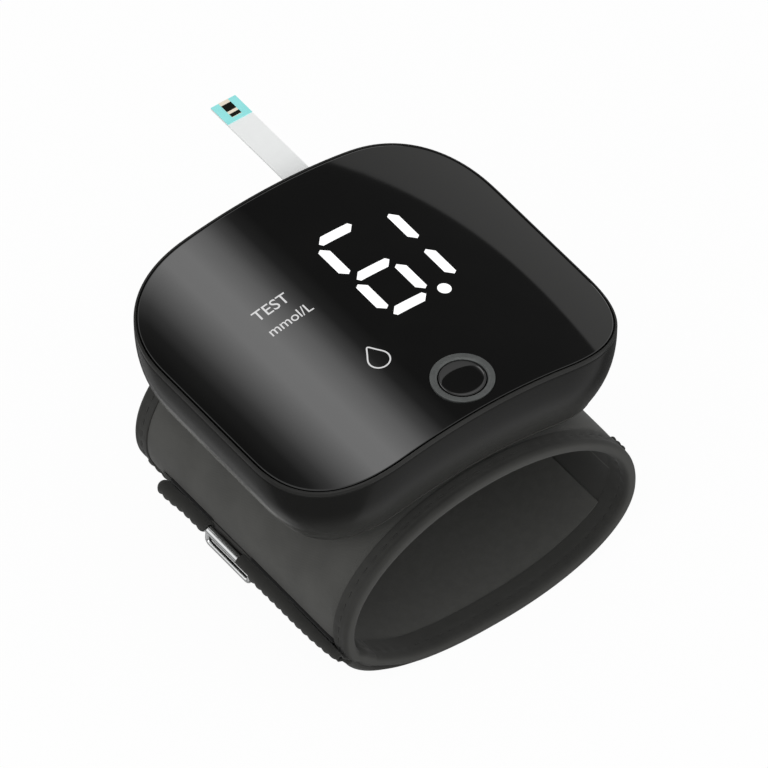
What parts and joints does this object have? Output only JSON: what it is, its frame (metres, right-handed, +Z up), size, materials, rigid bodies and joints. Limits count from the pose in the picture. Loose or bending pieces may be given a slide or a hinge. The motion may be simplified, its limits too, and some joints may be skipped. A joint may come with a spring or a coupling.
{
  "type": "blood glucose meter",
  "caption": "Glass-fronted blood glucose meter with a lit digital display, a round push button and a test strip, on a padded fabric wrist cuff with a strap ring.",
  "frame": {"origin": "middle of the small flat under the cuff, on which the part rests", "axes": "+Z up through the glass, +X along the reading direction of the digits, +Y along the arm towards the end where the test strip sticks out"},
  "size_m": [0.0824, 0.1011, 0.0664],
  "materials": {
    "black_glass": "high gloss printed acrylic",
    "housing_plastic": "semi-gloss black moulding",
    "button_plastic": "gloss black cap",
    "satin_metal": "satin grey trim",
    "screw_steel": "plain steel",
    "board": "green solder mask",
    "dark_plastic": "fine matt moulding",
    "white_plastic": "smooth white film",
    "blue_film": "tinted clear film",
    "contact_metal": "thin gold plate",
    "cell_foil": "foil pouch",
    "cuff_fabric": "close knit over foam",
    "lining_fabric": "brushed loop fabric",
    "binding_tape": "ribbed tape",
    "ring_chrome": "polished wire"
  },
  "bodies": {
    "meter": {"display_lens": "black_glass", "bezel_frame": "housing_plastic", "lower_housing": "housing_plastic", "housing_screw_1": "screw_steel", "housing_screw_2": "screw_steel", "housing_screw_3": "screw_steel", "housing_screw_4": "screw_steel", "main_board": "board", "board_screw_1": "screw_steel", "board_screw_2": "screw_steel", "control_chip": "dark_plastic", "digit_reflector": "white_plastic", "display_film": "white_plastic", "tact_switch": "dark_plastic", "button_ring": "satin_metal", "strip_port": "dark_plastic", "strip_socket": "dark_plastic", "strip_contact_1": "contact_metal", "strip_contact_2": "contact_metal", "strip_contact_3": "contact_metal", "battery_tray": "dark_plastic", "battery_cell": "cell_foil", "charge_socket": "screw_steel", "buzzer": "dark_plastic", "saddle_plate": "housing_plastic", "saddle_screw_1": "screw_steel", "saddle_screw_2": "screw_steel", "cuff_shell": "cuff_fabric", "cuff_lining": "lining_fabric", "front_binding": "binding_tape", "rear_binding": "binding_tape", "strap_loop_front": "binding_tape", "strap_loop_rear": "binding_tape", "strap_flap": "binding_tape", "hook_patch": "lining_fabric"},
    "button": {"button_cap": "button_plastic"},
    "strip": {"strip_base": "white_plastic", "strip_tip": "blue_film", "strip_gold_track": "contact_metal", "strip_pad_1": "dark_plastic", "strip_pad_2": "dark_plastic"},
    "ring": {"strap_ring": "ring_chrome"}
  },
  "joints": [
    {"name": "button_press", "type": "slide", "parent": "meter", "child": "button", "axis": [0, 0, -1], "range_m": [0, 0.0006], "stiffness_N_per_m": 800, "springref_m": -0.0005},
    {"name": "strip_pull", "type": "slide", "parent": "meter", "child": "strip", "axis": [0, 1, 0], "range_m": [0, 0.01]},
    {"name": "ring_swing", "type": "hinge", "parent": "meter", "child": "ring", "pos_m": [-0.03725, -0.0009, 0.01496], "axis": [0, 1, 0], "range_deg": [0, 30]}
  ]
}
